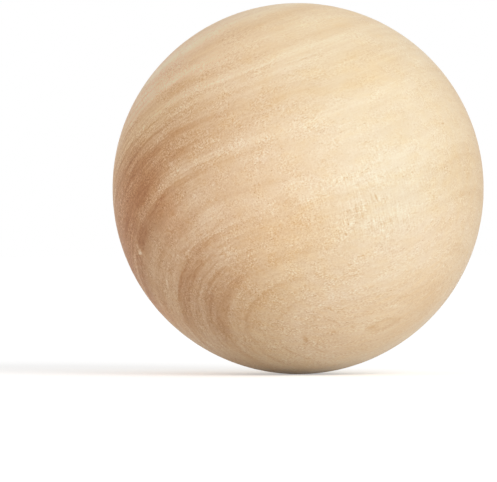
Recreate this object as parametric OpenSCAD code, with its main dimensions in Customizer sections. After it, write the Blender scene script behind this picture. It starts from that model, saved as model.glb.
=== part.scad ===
// Plain wooden ball, turned from one piece of solid wood.
// Millimetres. The origin is the centre of the ball, and +Z is up.

/* [Ball] */
// Diameter of the finished ball
ball_d = 80; // [20:1:150]

/* [Hidden] */

// Facets round the ball's widest circle
ball_facets = 180;

// The whole ball: solid right through, with no bore, flat or seam.
module ball() {
    color("burlywood")
        sphere(d = ball_d, $fn = ball_facets);
}

ball();
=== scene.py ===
import math

import bpy
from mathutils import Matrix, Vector


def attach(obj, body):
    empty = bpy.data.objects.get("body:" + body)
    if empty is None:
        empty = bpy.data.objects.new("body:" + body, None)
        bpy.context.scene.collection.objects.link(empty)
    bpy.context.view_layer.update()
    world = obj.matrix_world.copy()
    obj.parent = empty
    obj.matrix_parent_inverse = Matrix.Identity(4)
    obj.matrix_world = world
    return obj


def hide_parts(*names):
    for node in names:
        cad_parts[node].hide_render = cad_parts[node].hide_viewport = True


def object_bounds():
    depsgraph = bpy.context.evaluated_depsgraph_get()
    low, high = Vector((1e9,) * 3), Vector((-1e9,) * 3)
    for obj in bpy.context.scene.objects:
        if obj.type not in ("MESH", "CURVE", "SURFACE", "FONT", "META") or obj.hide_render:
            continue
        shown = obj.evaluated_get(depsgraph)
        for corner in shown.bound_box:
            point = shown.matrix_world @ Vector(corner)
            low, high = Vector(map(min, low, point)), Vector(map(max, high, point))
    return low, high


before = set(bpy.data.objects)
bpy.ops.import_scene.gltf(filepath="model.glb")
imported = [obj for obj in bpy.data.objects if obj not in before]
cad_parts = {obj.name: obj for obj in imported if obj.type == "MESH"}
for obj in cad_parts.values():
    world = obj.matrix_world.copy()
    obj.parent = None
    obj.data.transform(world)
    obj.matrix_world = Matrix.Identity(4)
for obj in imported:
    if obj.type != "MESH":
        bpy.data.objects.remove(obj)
cadLow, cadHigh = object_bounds()
print("frame loaded, the plain ball is", round((cadHigh.z - cadLow.z) * 1000, 2), "mm high")

mm = 0.001    # Blender works in metres, nearly all sizes below are in millimetres


class NodeBench:
    # a thin wrapper round one node tree, so that a formula in nodes reads in a few lines
    def __init__(self, tree):
        self.tree = tree

    def feed(self, socket, value):
        if isinstance(value, bpy.types.NodeSocket):
            self.tree.links.new(value, socket)
        else:
            socket.default_value = value

    def add(self, kind, inputs, **settings):
        node = self.tree.nodes.new(kind)
        for name, value in settings.items():
            setattr(node, name, value)
        for key, value in inputs.items():
            self.feed(node.inputs[key], value)
        return node

    def math(self, operation, *values):
        return self.add("ShaderNodeMath", dict(enumerate(values)), operation=operation).outputs[0]

    def plus(self, first, *others):
        for other in others:
            first = self.math("ADD", first, other)
        return first

    def times(self, first, *others):
        for other in others:
            first = self.math("MULTIPLY", first, other)
        return first

    def vector(self, operation, *values):
        node = self.add("ShaderNodeVectorMath", dict(enumerate(values)), operation=operation)
        isNumber = operation in ("DOT_PRODUCT", "LENGTH", "DISTANCE")
        return node.outputs["Value" if isNumber else "Vector"]

    def scaled(self, vector, factor):
        return self.add("ShaderNodeVectorMath", {0: vector, "Scale": factor}, operation="SCALE").outputs[0]

    def join(self, x, y, z):
        return self.add("ShaderNodeCombineXYZ", {0: x, 1: y, 2: z}).outputs[0]

    def remap(self, value, low, high, newLow=0.0, newHigh=1.0, ease="SMOOTHSTEP"):
        levels = {"Value": value, "From Min": low, "From Max": high, "To Min": newLow, "To Max": newHigh}
        return self.add("ShaderNodeMapRange", levels, interpolation_type=ease).outputs[0]

    def hump(self, value, middle, half):
        # 1 at the middle, a half at this distance to either side, and soon nothing
        off = self.math("DIVIDE", self.math("SUBTRACT", value, middle), half)
        return self.math("POWER", 0.5, self.times(off, off))

    def humps(self, value, rows, total):
        # adds one hump to the total for each row of middle, half width and height
        for middle, half, height in rows:
            total = self.math("MULTIPLY_ADD", self.hump(value, middle, half), height, total)
        return total

    def noise(self, place, size, detail=2.0, rough=0.5):
        # place and the size of one speck along each axis are in mm, the result is about -1 to 1
        sized = self.vector("DIVIDE", place, size)
        inputs = {"Vector": sized, "Scale": 1.0, "Detail": detail, "Roughness": rough}
        node = self.add("ShaderNodeTexNoise", inputs)
        return self.math("MULTIPLY_ADD", node.outputs[0], 2.0, -1.0)

    def ramp(self, value, stops):
        low = stops[0][0]
        high = stops[-1][0]
        node = self.add("ShaderNodeValToRGB", {"Fac": self.remap(value, low, high, ease="LINEAR")})
        elements = node.color_ramp.elements
        for index, (at, colour) in enumerate(stops):
            share = (at - low) / (high - low)
            element = elements[index] if index < len(elements) else elements.new(share)
            element.position = share
            element.color = (*colour, 1)
        return node.outputs["Color"]

    def tint(self, share, colour, by):
        node = self.add("ShaderNodeMix", {}, data_type="RGBA", blend_type="MULTIPLY")
        sockets = [socket for socket in node.inputs if socket.enabled]
        for socket, value in zip(sockets, (share, colour, by)):
            self.feed(socket, value)
        return next(socket for socket in node.outputs if socket.enabled)

    def seen(self):
        # 1 for what the camera sees, straight, mirrored or through glass, and 0 for light on other things
        rays = self.add("ShaderNodeLightPath", {}).outputs
        straight = self.math("MAXIMUM", rays["Is Camera Ray"], rays["Is Glossy Ray"])
        return self.math("MAXIMUM", straight, rays["Is Transmission Ray"])


def addObject(name, data):
    thing = bpy.data.objects.new(name, data)
    bpy.context.scene.collection.objects.link(thing)
    return thing


def facing(turn, rise):
    # unit vector to a place on the ball, in degrees to the right of the front and above the middle
    turn = math.radians(turn)
    rise = math.radians(rise)
    return Vector((math.sin(turn) * math.cos(rise), -math.cos(turn) * math.cos(rise), math.sin(rise)))


# how the ball lies in the trunk that it was cut from
trunkLook = {
    "ballRadius": 40.0,
    "fibreTurn": 23.5,      # degrees from +X towards +Y, the way the fibres run
    "fibreRise": 18.2,      # degrees above level
    "heartTurn": -48.1,     # degrees round the fibres, the side on which the heart of the trunk lay
    "heartAway": 52.5,      # from the middle of the ball to the heart
    "heartBow": 2.2,        # how far the heart bows away over half the ball
    "heartSway": 5.4,       # and how far it bows sideways
}


def trunkAxes(look):
    turn = math.radians(look["fibreTurn"])
    rise = math.radians(look["fibreRise"])
    fibre = Vector((math.cos(rise) * math.cos(turn), math.cos(rise) * math.sin(turn), math.sin(rise)))
    level = fibre.cross(Vector((0, 0, 1))).normalized()
    upright = level.cross(fibre)
    spin = math.radians(look["heartTurn"])
    toHeart = level * math.cos(spin) + upright * math.sin(spin)
    return fibre, toHeart, toHeart.cross(fibre)


def trunkField(bench, inMm, look):
    # mm along the fibre, and the two distances in mm from the heart of the trunk across the fibre
    fibre, toHeart, aside = trunkAxes(look)
    along = bench.vector("DOT_PRODUCT", inMm, fibre)
    halfWay = bench.math("DIVIDE", along, look["ballRadius"])
    bowed = bench.times(halfWay, halfWay)
    out = bench.math("SUBTRACT", look["heartAway"], bench.vector("DOT_PRODUCT", inMm, toHeart))
    out = bench.math("MULTIPLY_ADD", bowed, look["heartBow"], out)
    side = bench.vector("DOT_PRODUCT", inMm, aside)
    side = bench.math("MULTIPLY_ADD", bowed, -look["heartSway"], side)
    return along, out, side


def ringRadius(bench, out, side):
    return bench.vector("LENGTH", bench.join(out, side, 0.0))


cameraLook = {
    "viewWidthPx": 497,
    "viewHeightPx": 482,
    "ballRightPx": 298.1,    # middle of the ball from the left edge of the view
    "ballDownPx": 188.6,     # and from its top edge
    "ballWidthPx": 371.3,
    "lens": 600.0,           # mm, so long that the view is nearly flat
    "sensor": 36.0,          # mm
    "nearest": 0.01,         # metres
    "farthest": 20.0,
}


def makeCamera(look, ballRadius):
    pxPerMm = look["viewWidthPx"] / look["sensor"]
    halfAngle = math.atan(look["ballWidthPx"] / 2 / (look["lens"] * pxPerMm))
    away = ballRadius / math.sin(halfAngle)
    data = bpy.data.cameras.new("benchCamera")
    data.lens = look["lens"]
    data.sensor_width = look["sensor"]
    data.shift_x = (look["viewWidthPx"] / 2 - look["ballRightPx"]) / look["viewWidthPx"]
    data.shift_y = (look["ballDownPx"] - look["viewHeightPx"] / 2) / look["viewWidthPx"]
    data.clip_start = look["nearest"]
    data.clip_end = look["farthest"]
    camera = addObject("benchCamera", data)
    camera.location = (0, -away, 0)
    camera.rotation_euler = (math.radians(90), 0, 0)
    bpy.context.scene.camera = camera
    print("camera", round(away, 3), "m from the middle of the ball")


lightLook = {
    "worldLevel": 0.54,                   # soft light from all round, from a backdrop that shows as white
    "keyPlace": (0.394, -0.504, 0.285),   # metres
    "keySize": 0.5,
    "keyWatts": 2.42,
}


def makeLight(look):
    world = bpy.data.worlds.new("studioWorld")
    bpy.context.scene.world = world
    world.use_nodes = True
    world.node_tree.nodes.clear()
    bench = NodeBench(world.node_tree)
    level = bench.remap(bench.seen(), 0.0, 1.0, look["worldLevel"], 1.0, "LINEAR")
    backdrop = bench.add("ShaderNodeBackground", {"Color": (1, 1, 1, 1), "Strength": level})
    bench.add("ShaderNodeOutputWorld", {"Surface": backdrop.outputs[0]})
    lamp = bpy.data.lights.new("keyLamp", "AREA")
    lamp.shape = "DISK"
    lamp.size = look["keySize"]
    lamp.energy = look["keyWatts"]
    key = addObject("keyLamp", lamp)
    key.location = look["keyPlace"]
    key.rotation_euler = (-Vector(look["keyPlace"])).to_track_quat("-Z", "Y").to_euler()
    print("light set")


floorLook = {
    "half": 3.0,             # metres
    "colour": (0.90, 0.90, 0.90, 1),
    "roughness": 0.9,
    "glow": 0.55,            # added where the floor is seen, so that it reads as white
    "nearGlow": 0.42,        # less by the ball, where its shadow lies
    "nearBy": (0.05, 0.40),  # metres from the ball over which the one turns into the other
}


def makeFloor(look, height):
    corners = [(x * look["half"], y * look["half"], height) for x, y in ((-1, -1), (1, -1), (1, 1), (-1, 1))]
    mesh = bpy.data.meshes.new("floor")
    mesh.from_pydata(corners, [], [(0, 1, 2, 3)])
    floor = addObject("floor", mesh)
    material = bpy.data.materials.new("paleFloor")
    material.use_nodes = True
    bench = NodeBench(material.node_tree)
    shader = material.node_tree.nodes["Principled BSDF"].inputs
    shader["Base Color"].default_value = look["colour"]
    shader["Roughness"].default_value = look["roughness"]
    shader["Specular IOR Level"].default_value = 0.0
    shader["Emission Color"].default_value = (1, 1, 1, 1)
    place = bench.add("ShaderNodeTexCoord", {}).outputs["Object"]
    away = bench.vector("LENGTH", bench.vector("MULTIPLY", place, (1, 1, 0)))
    glow = bench.remap(away, *look["nearBy"], look["nearGlow"], look["glow"])
    bench.feed(shader["Emission Strength"], bench.times(bench.seen(), glow))
    mesh.materials.append(material)
    print("floor laid")


# the near end is the end grain at the left of the front, the far end is where the fibres come out again
woodLook = {
    # colour against brownness: 0 is the usual cream, about 1 plain end grain, 2 and over the darkest streaks
    "tones": (
        (-0.35, (0.960, 0.900, 0.675)),
        (0.00, (0.880, 0.742, 0.520)),
        (0.30, (0.797, 0.627, 0.405)),
        (0.60, (0.729, 0.530, 0.318)),
        (0.95, (0.646, 0.433, 0.248)),
        (1.45, (0.545, 0.322, 0.172)),
        (2.20, (0.430, 0.220, 0.105)),
    ),
    # tint that goes with brownness and a slow noise, from pinkish pale patches to golden ones
    "patches": (
        (-0.80, (0.990, 0.985, 1.020)),
        (0.00, (0.990, 0.975, 0.965)),
        (0.60, (1.000, 0.965, 0.895)),
        (1.20, (1.010, 0.955, 0.820)),
    ),
    # brownness of the bare wood
    "plainBrown": 0.04,
    "nearBrownAndShade": 0.50,                # end grain soaks up more and looks browner, this much at the near end, where part of it is painted shade of the side away from the lamp
    "farBrown": 0.38,                # and this much at the far end
    "poleBrown": 0.40,               # more still at the very middle of either end
    "polePower": 4.0,                # the higher, the closer that keeps to the middle
    "paintedWarmLight": (1.135, 1.0, 0.945, 1),    # painted warm light: a warmer tint towards the near end, which lies in shade, for the warmer light that falls there
    "paintedWarmLightAlong": (8.0, -36.0),            # mm along the fibres over which it comes in
    "warmRings": (26.0, 52.0, 0.7, 1.0),  # and ring radius over which it goes from the one share to the other
    # stations of the bands below: mm along the fibres over which each comes in, the rest is the middle
    "nearEnd": (-26.0, -37.0),
    "shoulder": (-8.0, -26.0),
    "farSide": (8.0, 26.0),
    # growth bands: ring radius and half width in mm, then how much browner the wood is
    # at the near end, at its shoulder, round the middle of the ball and on the far side
    "bands": (
        (14.4, 0.8, 0.00, 0.00, 0.06, 0.06),
        (15.0, 5.0, 0.05, 0.05, 0.05, 0.08),
        (19.7, 1.2, 0.00, -0.04, -0.07, 0.00),
        (25.1, 0.6, 0.06, 0.04, 0.04, 0.04),
        (27.0, 9.0, 0.08, 0.05, 0.03, 0.07),
        (30.3, 1.0, 0.45, 0.13, 0.02, 0.12),
        (32.4, 1.0, 0.36, 0.06, -0.05, 0.00),
        (37.7, 0.7, 0.22, 0.02, -0.01, 0.08),
        (39.5, 0.5, 0.24, 0.12, 0.02, 0.04),
        (43.0, 2.2, -0.27, -0.17, -0.04, -0.05),
        (46.5, 0.6, 0.12, 0.12, 0.05, 0.00),
        (48.3, 0.9, -0.20, -0.10, 0.06, -0.05),
        (52.2, 1.3, 0.16, 0.00, 0.02, -0.03),
        (53.9, 0.5, 0.26, 0.12, 0.02, 0.00),
        (56.0, 0.9, -0.35, -0.22, -0.06, -0.08),
        (59.7, 0.7, 0.36, 0.08, 0.00, 0.00),
        (62.0, 3.2, 0.46, 0.17, 0.14, -0.12),
        (64.0, 0.6, 0.20, 0.08, 0.02, 0.00),
        (67.0, 0.6, 0.24, 0.08, 0.04, -0.05),
        (69.2, 2.0, -0.07, -0.08, -0.03, -0.05),
        (71.4, 0.8, -0.38, -0.26, -0.13, -0.10),
        (73.3, 0.8, 0.10, 0.16, 0.06, 0.06),
        (76.2, 1.6, -0.34, -0.32, -0.08, -0.06),
        (80.6, 1.0, 0.05, 0.11, 0.11, 0.04),
        (83.8, 1.6, -0.30, -0.30, -0.14, -0.10),
        (86.3, 0.4, 0.10, 0.10, 0.08, 0.06),
        (88.0, 0.8, 0.16, 0.12, 0.10, 0.08),
        (90.2, 0.5, 0.14, 0.14, 0.14, 0.12),
        (91.3, 0.4, -0.10, -0.12, -0.12, -0.10),
    ),
    # wisps that follow a ring for a short way: ring radius and half width, then how far along the
    # fibre its middle lies and its half length, all in mm, and how much browner it is
    "wisps": (
        # on the near end
        (29.6, 1.4, -33.0, 3.0, 0.34),
        (32.0, 2.0, -36.0, 1.5, 0.15),
        (33.2, 0.5, -34.0, 3.0, 0.08),
        (33.5, 2.5, -36.0, 2.5, 0.26),
        (35.0, 0.8, -34.0, 4.0, -0.07),
        (36.0, 2.5, -31.0, 2.5, -0.15),
        (36.9, 2.1, -37.0, 2.4, 0.29),
        (40.1, 0.4, -36.0, 4.0, 0.26),
        (41.4, 0.7, -38.0, 4.0, -0.10),
        (45.0, 2.0, -31.5, 2.0, -0.28),
        (45.8, 0.5, -38.0, 3.0, 0.08),
        (46.0, 4.0, -40.5, 1.6, -0.14),
        (48.0, 1.8, -39.0, 2.0, -0.30),
        (48.4, 1.2, -38.0, 1.6, 0.28),
        (49.5, 1.2, -33.3, 1.2, -0.20),
        (51.5, 2.5, -38.0, 1.5, 0.30),
        (52.0, 1.8, -31.5, 2.0, -0.20),
        (52.4, 0.7, -39.7, 0.7, 0.50),
        (53.4, 0.7, -37.0, 1.3, 0.45),
        (54.0, 0.6, -37.0, 1.4, -0.12),
        (54.9, 0.5, -36.5, 2.2, -0.28),
        (55.9, 0.8, -39.0, 2.5, 0.54),
        (57.7, 1.2, -38.0, 1.8, 0.57),
        (57.8, 0.4, -38.0, 4.0, 0.08),
        (58.5, 1.6, -33.0, 1.0, -0.28),
        (58.8, 0.4, -38.0, 3.0, -0.09),
        (60.5, 0.6, -38.0, 2.0, 0.22),
        (61.2, 0.8, -36.0, 2.2, -0.22),
        (63.5, 3.5, -40.0, 1.8, -0.20),
        (63.8, 0.5, -34.5, 1.2, 0.28),
        (64.0, 3.0, -37.0, 1.6, 0.30),
        (64.7, 0.7, -32.0, 0.9, -0.28),
        (65.5, 1.8, -35.5, 1.4, 0.20),
        (66.0, 0.6, -31.0, 2.0, -0.30),
        (67.2, 0.5, -35.5, 1.5, 0.25),
        (70.2, 0.4, -34.0, 4.0, 0.08),
        (70.5, 0.7, -36.0, 2.0, 0.30),
        (70.9, 0.6, -35.4, 1.2, 0.25),
        (73.2, 1.0, -31.0, 3.5, -0.20),
        # on its shoulder
        (17.3, 0.3, -16.5, 4.5, 0.13),
        (18.7, 0.6, -17.5, 4.0, -0.05),
        (19.3, 0.6, -14.0, 6.0, 0.06),
        (20.9, 0.3, -21.0, 5.5, 0.15),
        (23.5, 1.8, -26.0, 4.0, 0.08),
        (25.0, 3.0, -28.0, 3.0, 0.12),
        (25.5, 0.35, -23.0, 5.0, 0.15),
        (26.3, 0.8, -16.0, 3.0, 0.08),
        (26.9, 1.0, -23.0, 5.0, -0.05),
        (27.0, 0.5, -30.0, 4.0, 0.08),
        (28.0, 1.2, -22.0, 3.0, -0.06),
        (32.0, 1.0, -26.0, 3.0, -0.10),
        (33.0, 2.5, -13.0, 4.0, 0.12),
        (35.0, 0.7, -19.0, 2.5, 0.14),
        (37.0, 1.2, -18.0, 6.0, 0.12),
        (38.7, 1.6, -29.5, 2.6, -0.15),
        (41.2, 0.8, -30.0, 4.0, -0.07),
        (41.8, 0.9, -18.0, 1.4, 0.25),
        (42.3, 0.6, -29.0, 6.0, 0.15),
        (48.0, 0.5, -28.0, 4.0, 0.15),
        (52.0, 0.8, -21.0, 4.0, -0.13),
        (53.8, 0.8, -26.0, 4.0, -0.05),
        (54.8, 0.4, -29.5, 3.0, 0.20),
        (55.8, 0.4, -26.0, 4.0, 0.10),
        (57.0, 1.6, -14.0, 5.0, -0.05),
        (64.3, 0.5, -29.0, 3.5, 0.28),
        (65.2, 0.7, -29.5, 1.4, 0.28),
        (67.2, 0.4, -30.0, 2.5, 0.20),
        (67.7, 0.4, -27.0, 4.0, 0.24),
        (67.7, 0.4, -15.0, 9.0, -0.15),
        (69.7, 0.25, -15.0, 6.0, 0.09),
        (70.3, 0.5, -27.0, 4.0, 0.20),
        (70.6, 0.35, -13.0, 7.0, -0.12),
        (70.9, 0.3, -20.0, 2.5, -0.14),
        (71.4, 0.3, -14.0, 6.0, 0.13),
        (72.2, 0.3, -15.0, 6.0, 0.06),
        (74.8, 0.7, -24.0, 2.0, 0.35),
        (77.8, 0.6, -19.0, 1.5, 0.20),
        (78.8, 1.5, -27.0, 2.5, -0.22),
        (80.5, 2.0, -26.0, 3.0, -0.18),
        (82.5, 2.8, -21.0, 5.5, -0.18),
        (83.1, 1.0, -16.0, 6.0, -0.11),
        # round the middle of the ball and on the far side
        (12.8, 1.5, -6.0, 4.0, -0.06),
        (13.0, 1.4, 6.0, 3.5, 0.08),
        (15.5, 1.2, 13.0, 4.0, 0.10),
        (17.5, 1.6, -3.0, 6.0, 0.05),
        (19.5, 1.5, -8.0, 7.0, -0.05),
        (20.3, 0.7, 19.0, 3.0, 0.15),
        (34.0, 1.5, 22.0, 6.0, 0.10),
        (36.8, 1.5, 20.0, 7.0, 0.11),
        (40.3, 0.5, -9.0, 6.0, 0.12),
        (49.9, 0.6, 4.0, 8.0, 0.10),
        (55.4, 0.5, 3.0, 9.0, 0.12),
        (61.5, 1.2, 21.0, 3.5, 0.14),
        (72.0, 0.6, 9.0, 5.0, 0.12),
        (77.2, 0.8, -6.0, 5.0, 0.05),
    ),
    # small marks: degrees right of the front and above the middle, lean, length and width in mm, brownness
    "marks": (
        # the nick and the wood round it
        (-64.2, -19.4, 10, 1.8, 0.5, -1.00),
        (-64.0, -20.2, 10, 2.0, 0.7, -1.30),
        (-64.5, -18.2, -94, 1.5, 1.0, -0.60),
        (-65.4, -24.4, 90, 6.0, 6.0, -0.18),
        (-65.1, -23.6, 90, 2.8, 1.0, 0.28),
        (-68.0, -20.6, -78, 5.5, 1.0, 0.26),
        (-62.8, -20.6, -104, 3.2, 2.2, -0.30),
        (-62.1, -16.6, 90, 1.0, 1.0, 0.50),
        (-59.4, -16.6, 90, 1.2, 0.9, 0.35),
        # patches and streaks on the near end and its shoulder, from the top down
        (-57.5, -12.6, -88, 2.6, 1.8, 0.30),
        (-61.6, -14.3, -82, 5.2, 3.4, 0.46),
        (-68.9, -14.5, -105, 8.0, 4.4, 0.17),
        (-49.2, -15.1, -51, 2.4, 2.0, -0.12),
        (-38.4, -23.1, 34, 4.2, 3.2, -0.24),
        (-54.0, -24.7, -74, 2.4, 2.0, 0.12),
        (-29.3, -34.5, 23, 2.8, 2.0, -0.12),
        (-50.8, -34.7, -71, 2.8, 2.4, 0.12),
        (-70.5, -35.0, -81, 10.0, 1.2, -0.14),
        (-63.8, -36.3, -92, 15.0, 3.6, 0.22),
        (-56.6, -44.9, -110, 4.5, 3.4, 0.15),
        (-37.2, -47.8, -83, 3.6, 3.6, 0.20),
        (-20.6, -51.2, -66, 4.0, 2.2, -0.24),
        (-28.0, -54.6, 0, 6.0, 4.0, -0.09),
        # thin arcs and spots low on the front
        (14.9, -44.7, -26, 4.4, 0.3, 0.30),
        (25.1, -47.2, -36, 1.4, 0.6, 0.30),
        (1.6, -49.2, -32, 2.0, 1.6, -0.16),
        (16.9, -49.6, 22, 1.0, 0.5, 0.30),
        (3.9, -53.4, -73, 2.0, 0.8, 0.40),
        (12.7, -59.5, -38, 4.6, 0.4, 0.24),
        (-2.0, -61.4, -43, 8.0, 0.45, 0.28),
        (6.8, -62.2, 0, 1.4, 0.6, -0.30),
        (7.3, -65.2, -10, 1.6, 0.6, 0.40),
        # the small eye, low on the right
        (42.3, -38.8, 7, 5.0, 0.8, -0.18),
        (41.6, -46.4, 20, 5.2, 2.1, -0.46),
        (41.5, -46.5, 21, 6.8, 3.3, 0.46),
        (36.0, -47.4, 40, 1.0, 0.8, 0.20),
        # short dashes on the pale front and right
        (55.3, 20.3, 0, 1.2, 0.35, 0.35),
        (22.8, -2.4, -70, 1.5, 0.3, 0.28),
        (24.3, -2.5, -64, 1.7, 0.35, 0.45),
        (17.9, -6.2, -77, 2.4, 0.3, 0.20),
        (39.0, -7.4, 13, 1.9, 0.35, 0.25),
        (14.9, -13.9, 11, 0.8, 0.5, 0.40),
        (20.8, -20.9, 12, 1.7, 0.35, 0.35),
        (19.1, -27.3, 14, 2.0, 0.35, 0.35),
    ),
    "markEdge": (1.6, 0.4),          # in half lengths or widths, where a mark begins and where it is full
    # tints: ring radius and half width, middle along the fibre and half length in mm, then the colour
    "tints": (
        (13.0, 6.0, 10.0, 18.0, (1.050, 1.000, 0.985)),
        # painted light: this cooler tint round the underside takes back the warm light bounced onto it
        (17.0, 5.0, -14.0, 9.0, (0.990, 1.000, 1.040)),
        (24.0, 4.0, -24.0, 7.0, (0.990, 1.000, 0.990)),
        (25.0, 5.0, 10.0, 18.0, (1.020, 1.000, 1.020)),
        (32.0, 6.0, -38.0, 8.0, (0.950, 1.000, 1.100)),
        (35.0, 5.0, -20.0, 9.0, (1.020, 1.000, 0.955)),
        (40.0, 14.0, 4.0, 14.0, (0.975, 1.000, 1.040)),
        (50.0, 5.0, -36.2, 1.6, (1.020, 0.985, 0.970)),
        (51.0, 5.0, -39.5, 1.4, (0.975, 1.000, 1.020)),
        (61.0, 7.0, -39.0, 6.0, (1.030, 0.970, 0.910)),
        (62.0, 5.0, 10.0, 8.0, (1.020, 1.000, 0.960)),
        (72.0, 4.0, -33.0, 7.0, (1.010, 1.000, 0.930)),
        (78.0, 8.0, -4.0, 40.0, (1.030, 1.000, 0.960)),
        (90.0, 14.0, 0.0, 60.0, (1.080, 1.000, 0.930)),
    ),
    # round clouds of tint: degrees right of the front and above the middle, half width in mm, then the colour
    "clouds": (
        # the two lowest clouds are painted light: a cooler tint on the underside, which takes back the warm
        # light bounced onto it
        (-45, -52, 9.0, (0.970, 1.000, 1.030)),
        (-15, -60, 9.0, (0.975, 1.000, 1.025)),
        (-61, -34, 6.0, (0.975, 1.000, 1.000)),
        (-30, -18, 9.0, (1.020, 1.000, 0.995)),
        (-14, -26, 9.0, (1.010, 1.000, 0.980)),
    ),
    # size of one speck of each pattern in mm, along the fibres, round the rings and out from the heart
    "wanderSize": (34.0, 22.0, 14.0),
    "rippleSize": (9.0, 4.0, 3.0),
    "ringSize": (30.0, 14.0, 0.7),
    "threadSize": (24.0, 11.0, 1.5),
    "blotchSize": (7.0, 4.0, 2.6),
    "clusterSize": (6.0, 4.0, 3.0),
    "patchSize": (6.0, 2.6, 2.2),
    # and of the finest grain, along the fibres and the two ways across them
    "streakSize": (7.0, 0.6, 0.6),
    "speckleSize": (0.55, 0.30, 0.30),
    "poreSize": (1.3, 0.24, 0.24),
    "raySize": (2.2, 0.26, 0.32),    # this one out from the heart, round it and along the fibres
    "arcRadius": 45.0,               # mm, the ring radius at which arcs are measured
    "wander": 0.5,                   # mm by which the rings stray from round
    "ripple": 0.35,
    # the fine rings are sharp on end grain only: mm along the fibres, then the two shares
    "sharpNear": (-20.0, -36.0, 0.0, 1.0),
    "sharpFar": (31.0, 40.0, 0.0, 0.7),
    "sideRings": 0.18,               # strength on the sides, and on end grain
    "endRings": 0.74,
    "unevenRings": ((49.0, 5.0, -0.7), (68.0, 9.0, 0.2)),    # weaker or stronger round these rings
    "endThreads": 0.45,
    "threadEdge": (0.09, 0.0),       # the lower the first, the thinner the threads
    "blotches": 0.16,
    "sideStreaks": 0.14,
    "endStreaks": 0.34,
    "speckle": 0.62,
    "pores": 1.10,
    "poreEdge": (0.30, 0.62),        # the higher, the fewer the pores
    "rays": 0.12,
    "quarterRays": 0.70,             # more where the surface lies along the rays
    "quarterPower": 12.0,
    "clusters": (-0.4, 0.4, 0.45, 1.55),    # the grain is uneven, between the last two shares
    # how strong the grain is: mm along the fibres, then the two shares
    "gritNear": (4.0, -26.0, 0.42, 1.0),
    "gritFar": (6.0, 20.0, 0.0, 0.10),
    "gritPoles": 0.9,
    # rings with stronger grain: ring radius and half width in mm, then how much, everywhere,
    # on end grain only, and on the far side only
    "coarse": ((15.0, 6.0, 0.4), (47.0, 6.0, -0.2)),
    "coarseEnds": ((62.0, 8.0, 0.5),),
    "coarseFar": ((33.0, 8.0, 0.45),),
    "coarseFarFrom": (8.0, 22.0),
    "bumpHeight": 0.03,              # mm
    "bumpStreaks": 0.5,
    "roughness": 0.56,
    "roughStreaks": 0.08,
    "specular": 0.35,
    "fuzz": 0.18,                    # fine sanding fuzz, it pales the rim a little
    "fuzzRoughness": 0.25,
}


def growthFigure(bench, look, along, ring):
    # how much of each station there is at this place along the fibre
    nearEnd = bench.remap(along, *look["nearEnd"])
    farSide = bench.remap(along, *look["farSide"])
    shoulder = bench.math("SUBTRACT", bench.remap(along, *look["shoulder"]), nearEnd)
    middle = bench.math("SUBTRACT", 1.0, bench.plus(nearEnd, shoulder, farSide))
    stations = (nearEnd, shoulder, middle, farSide)
    figure = 0.0
    for place, halfWidth, *strengths in look["bands"]:
        strength = 0.0
        for station, brown in zip(stations, strengths):
            strength = bench.math("MULTIPLY_ADD", station, brown, strength)
        figure = bench.math("MULTIPLY_ADD", bench.hump(ring, place, halfWidth), strength, figure)
    for place, halfWidth, middle, halfLength, brown in look["wisps"]:
        here = bench.times(bench.hump(ring, place, halfWidth), bench.hump(along, middle, halfLength))
        figure = bench.math("MULTIPLY_ADD", here, brown, figure)
    return figure


def smallMarks(bench, look, inMm):
    total = 0.0
    for turn, rise, lean, length, width, brown in look["marks"]:
        middle = facing(turn, rise)
        east = Vector((-middle.y, middle.x, 0)).normalized()
        north = middle.cross(east)
        lean = math.radians(lean)
        lengthways = east * math.cos(lean) + north * math.sin(lean)
        widthways = middle.cross(lengthways)
        behind = bench.math("LESS_THAN", bench.vector("DOT_PRODUCT", inMm, middle), 0.0)
        offset = bench.join(bench.vector("DOT_PRODUCT", inMm, lengthways * 2 / length),
                            bench.vector("DOT_PRODUCT", inMm, widthways * 2 / width), behind)
        mark = bench.remap(bench.vector("LENGTH", offset), *look["markEdge"], 0.0, brown)
        total = bench.plus(total, mark)
    return total


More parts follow.
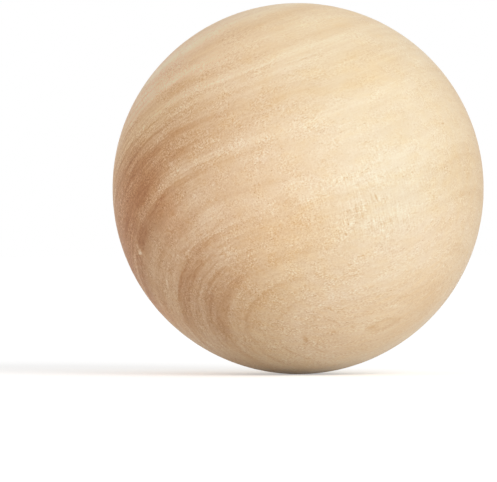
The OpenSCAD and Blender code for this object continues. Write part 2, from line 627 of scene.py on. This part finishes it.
def makeWood(look, trunk):
    material = bpy.data.materials.new("paleHardwood")
    material.use_nodes = True
    bench = NodeBench(material.node_tree)
    shader = material.node_tree.nodes["Principled BSDF"].inputs
    place = bench.add("ShaderNodeTexCoord", {}).outputs["Object"]
    inMm = bench.scaled(place, 1 / mm)
    along, out, side = trunkField(bench, inMm, trunk)
    fibred = bench.join(along, out, side)
    radius = ringRadius(bench, out, side)
    arc = bench.times(bench.math("ARCTAN2", side, out), look["arcRadius"])

    # rings stray slowly over the ball, with a finer ripple across the fibre
    spun = bench.join(along, arc, radius)
    stray = bench.noise(spun, look["wanderSize"], detail=1.0)
    ripple = bench.noise(spun, look["rippleSize"])
    ring = bench.math("MULTIPLY_ADD", stray, look["wander"], radius)
    ring = bench.math("MULTIPLY_ADD", ripple, look["ripple"], ring)
    ringed = bench.join(along, arc, ring)

    # end grain is browner, and the near end also darker with painted shade
    halfWay = bench.math("DIVIDE", along, trunk["ballRadius"])
    endGrain = bench.times(halfWay, halfWay)
    poles = bench.math("POWER", endGrain, look["polePower"])
    endBrownAndShade = bench.remap(along, -1.0, 1.0, look["nearBrownAndShade"], look["farBrown"])
    plain = bench.math("MULTIPLY_ADD", endGrain, endBrownAndShade, look["plainBrown"])
    plain = bench.math("MULTIPLY_ADD", poles, look["poleBrown"], plain)

    # fine rings and thin dark threads between the bands, sharp on the end grain
    sharp = bench.plus(bench.remap(along, *look["sharpNear"]), bench.remap(along, *look["sharpFar"]))
    ringStrength = bench.remap(sharp, 0.0, 1.0, look["sideRings"], look["endRings"], "LINEAR")
    ringStrength = bench.times(ringStrength, bench.humps(radius, look["unevenRings"], 1.0))
    fineRings = bench.noise(ringed, look["ringSize"], detail=3.0, rough=0.6)
    fineRings = bench.times(fineRings, ringStrength)
    threads = bench.math("ABSOLUTE", bench.noise(ringed, look["threadSize"], detail=1.0))
    threads = bench.times(bench.remap(threads, *look["threadEdge"]), sharp, ringStrength, look["endThreads"])
    blotches = bench.noise(ringed, look["blotchSize"], detail=3.0, rough=0.6)
    blotches = bench.times(blotches, look["blotches"])
    bands = growthFigure(bench, look, along, ring)
    figure = bench.plus(bands, smallMarks(bench, look, inMm), fineRings, threads, blotches)

    # streaks, speckle and pores, and the rays, which lie flat in the surface where it runs
    # straight away from the heart
    quarter = bench.times(bench.math("DIVIDE", side, radius), trunk["heartAway"] / trunk["ballRadius"])
    quarter = bench.math("POWER", bench.math("ABSOLUTE", quarter), look["quarterPower"])
    clusters = bench.remap(bench.noise(spun, look["clusterSize"], detail=1.0), *look["clusters"])
    streaks = bench.noise(fibred, look["streakSize"], rough=0.6)
    speckle = bench.noise(fibred, look["speckleSize"], detail=1.0)
    rays = bench.noise(bench.join(radius, arc, along), look["raySize"], detail=1.0)
    pores = bench.remap(bench.noise(fibred, look["poreSize"], detail=1.0), *look["poreEdge"])
    rayStrength = bench.math("MULTIPLY_ADD", quarter, look["quarterRays"], look["rays"])
    streakStrength = bench.remap(sharp, 0.0, 1.0, look["sideStreaks"], look["endStreaks"], "LINEAR")
    grain = bench.plus(bench.times(streaks, streakStrength),
                       bench.times(speckle, clusters, look["speckle"]),
                       bench.times(rays, rayStrength, clusters),
                       bench.times(pores, clusters, look["pores"]))

    # the grain shows most at the near end and by the eye of the smallest rings
    grit = bench.remap(along, *look["gritNear"])
    grit = bench.math("MULTIPLY_ADD", poles, look["gritPoles"], grit)
    grit = bench.plus(grit, bench.remap(along, *look["gritFar"]))
    coarse = bench.humps(radius, look["coarse"], 1.0)
    coarseEnds = bench.times(bench.humps(radius, look["coarseEnds"], 0.0), sharp)
    onFarSide = bench.remap(along, *look["coarseFarFrom"])
    coarseFar = bench.times(bench.humps(radius, look["coarseFar"], 0.0), onFarSide)
    figure = bench.plus(figure, bench.times(grain, grit, bench.plus(coarse, coarseEnds, coarseFar)))

    # colour from brownness, then painted warm light on the shaded near end and patches of pinker or more
    # golden wood
    colour = bench.ramp(bench.plus(plain, figure), look["tones"])
    warm = bench.times(bench.remap(along, *look["paintedWarmLightAlong"]), bench.remap(radius, *look["warmRings"]))
    colour = bench.tint(warm, colour, look["paintedWarmLight"])
    for place, halfWidth, middle, halfLength, tint in look["tints"]:
        share = bench.times(bench.hump(radius, place, halfWidth), bench.hump(along, middle, halfLength))
        colour = bench.tint(share, colour, (*tint, 1))
    for turn, rise, halfWidth, tint in look["clouds"]:
        off = bench.vector("DISTANCE", inMm, facing(turn, rise) * trunk["ballRadius"])
        colour = bench.tint(bench.hump(off, 0.0, halfWidth), colour, (*tint, 1))
    hue = bench.plus(bench.noise(spun, look["patchSize"], rough=0.6), figure)
    colour = bench.tint(1.0, colour, bench.ramp(hue, look["patches"]))

    bench.feed(shader["Base Color"], colour)
    roughness = bench.math("MULTIPLY_ADD", streaks, look["roughStreaks"], look["roughness"])
    bench.feed(shader["Roughness"], roughness)
    shader["Specular IOR Level"].default_value = look["specular"]
    shader["Sheen Weight"].default_value = look["fuzz"]
    shader["Sheen Roughness"].default_value = look["fuzzRoughness"]
    height = bench.math("SUBTRACT", bench.plus(speckle, bench.times(streaks, look["bumpStreaks"])), pores)
    bumps = {"Height": height, "Distance": look["bumpHeight"] * mm, "Strength": 1.0}
    bench.feed(shader["Normal"], bench.add("ShaderNodeBump", bumps).outputs[0])
    print("wood mixed")
    return material


ballLook = {
    "diameter": 79.97,              # mm, a hair under the solid, so that it stays in its box
    "facesAcross": 126,             # of each of the six square charts
    "relief": 0.012,                # mm between hard and soft growth layers
    "layerStep": 2.4,
    "nickPlace": (-64.1, -19.8),    # degrees right of the front and above the middle
    "nickWidth": 1.3,
    "nickDepth": 0.12,
    "crowding": 0.7,                # how far the mesh draws in round the nick
    "crowdWidth": 5.0,
    "chartMargin": 0.012,           # share of a chart left bare at each edge
}


def makeBall(look, trunk, wood):
    # name, kind and value of each input of the node group
    settings = {
        "Diameter": ("Float", look["diameter"]),
        "Faces Across": ("Int", look["facesAcross"]),
        "Layer Relief": ("Float", look["relief"]),
        "Layer Step": ("Float", look["layerStep"]),
        "Nick Place": ("Vector", facing(*look["nickPlace"])),
        "Nick Width": ("Float", look["nickWidth"]),
        "Nick Depth": ("Float", look["nickDepth"]),
        "Crowding": ("Float", look["crowding"]),
        "Crowd Width": ("Float", look["crowdWidth"]),
        "Chart Margin": ("Float", look["chartMargin"]),
        "Wood": ("Material", wood),
    }
    tree = bpy.data.node_groups.new("turnedBall", "GeometryNodeTree")
    for name, (kind, _) in settings.items():
        tree.interface.new_socket(name, in_out="INPUT", socket_type="NodeSocket" + kind)
    tree.interface.new_socket("Geometry", in_out="OUTPUT", socket_type="NodeSocketGeometry")
    bench = NodeBench(tree)
    given = bench.add("NodeGroupInput", {}).outputs
    across = bench.plus(given["Faces Across"], 1)
    cube = bench.add("GeometryNodeMeshCube", {"Size": (2, 2, 2), "Vertices X": across,
                                              "Vertices Y": across, "Vertices Z": across})
    place = bench.add("GeometryNodeInputPosition", {}).outputs[0]

    # six square charts, three by two, so that a pattern can be painted on evenly
    normal = bench.add("GeometryNodeInputNormal", {}).outputs[0]
    faceNormal = bench.add("GeometryNodeFieldOnDomain", {0: normal}, data_type="FLOAT_VECTOR", domain="FACE")
    nx, ny, nz = bench.add("ShaderNodeSeparateXYZ", {0: faceNormal.outputs[0]}).outputs
    qx, qy, qz = bench.add("ShaderNodeSeparateXYZ", {0: place}).outputs
    ax, ay, az = (bench.math("ABSOLUTE", n) for n in (nx, ny, nz))
    acrossChart = bench.math("MULTIPLY_ADD", nx, qy, bench.times(bench.math("SUBTRACT", nz, ny), qx))
    upChart = bench.math("MULTIPLY_ADD", bench.plus(ax, ay), qz, bench.times(az, qy))
    fill = bench.math("SUBTRACT", 0.5, given["Chart Margin"])
    column = bench.math("MULTIPLY_ADD", az, 2.0, ay)
    row = bench.math("MULTIPLY_ADD", bench.plus(nx, ny, nz), 0.5, 0.5)
    u = bench.math("DIVIDE", bench.math("MULTIPLY_ADD", acrossChart, fill, bench.plus(column, 0.5)), 3.0)
    v = bench.math("DIVIDE", bench.math("MULTIPLY_ADD", upChart, fill, bench.plus(row, 0.5)), 2.0)
    chart = bench.add("GeometryNodeStoreNamedAttribute", {
        "Geometry": cube.outputs["Mesh"], "Name": "OFBake", "Value": bench.join(u, v, 0.0)},
        data_type="FLOAT2", domain="CORNER")

    # the cube is puffed out to a ball, with its rows at even angles, drawn in round the nick
    outward = bench.vector("NORMALIZE", bench.vector("TANGENT", bench.scaled(place, math.pi / 4)))
    halfWay = bench.times(given["Diameter"], 0.5)
    fromNick = bench.vector("SUBTRACT", outward, given["Nick Place"])
    away = bench.times(bench.vector("LENGTH", fromNick), halfWay)
    away = bench.math("DIVIDE", away, given["Crowd Width"])
    drawn = bench.math("EXPONENT", bench.times(away, away, -1.0))
    drawn = bench.times(drawn, given["Crowding"], -1.0)
    outward = bench.vector("NORMALIZE", bench.vector("ADD", outward, bench.scaled(fromNick, drawn)))

    # relief, all of it inwards: the growth layers and the nick
    along, out, side = trunkField(bench, bench.scaled(outward, halfWay), trunk)
    layers = bench.math("DIVIDE", ringRadius(bench, out, side), given["Layer Step"])
    layers = bench.math("MULTIPLY_ADD", bench.math("SINE", bench.times(layers, 2 * math.pi)), 0.5, 0.5)
    fromNick = bench.vector("LENGTH", bench.vector("SUBTRACT", outward, given["Nick Place"]))
    away = bench.math("DIVIDE", bench.times(fromNick, halfWay, 2.0), given["Nick Width"])
    dent = bench.remap(away, 1.0, 0.0)
    sunk = bench.plus(bench.times(layers, given["Layer Relief"]), bench.times(dent, given["Nick Depth"]))
    surface = bench.scaled(outward, bench.times(bench.math("SUBTRACT", halfWay, sunk), mm))
    puffed = bench.add("GeometryNodeSetPosition", {"Geometry": chart.outputs[0], "Position": surface})
    smooth = bench.add("GeometryNodeSetShadeSmooth", {"Geometry": puffed.outputs[0]})
    real = bench.add("GeometryNodeRealizeInstances", {"Geometry": smooth.outputs[0]})
    dressed = bench.add("GeometryNodeSetMaterial", {"Geometry": real.outputs[0], "Material": given["Wood"]})
    bench.add("NodeGroupOutput", {"Geometry": dressed.outputs[0]})

    maker = addObject("ballMaker", bpy.data.meshes.new("ballMaker"))
    turning = maker.modifiers.new("turning", "NODES")
    turning.node_group = tree
    for item in tree.interface.items_tree:
        if item.in_out == "INPUT":
            turning[item.identifier] = settings[item.name][1]
    evaluated = maker.evaluated_get(bpy.context.evaluated_depsgraph_get())
    mesh = bpy.data.meshes.new_from_object(evaluated)
    mesh.name = "woodBall"
    maker.modifiers.remove(turning)
    bpy.data.objects.remove(maker)
    ball = addObject("woodBall", mesh)
    print("ball turned,", len(mesh.polygons), "faces")
    return ball


bpy.context.scene.view_settings.view_transform = 'Standard'
makeCamera(cameraLook, trunkLook["ballRadius"] * mm)
makeLight(lightLook)
makeFloor(floorLook, cadLow.z)
wood = makeWood(woodLook, trunkLook)
ball = makeBall(ballLook, trunkLook, wood)
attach(ball, "root")
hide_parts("ball")
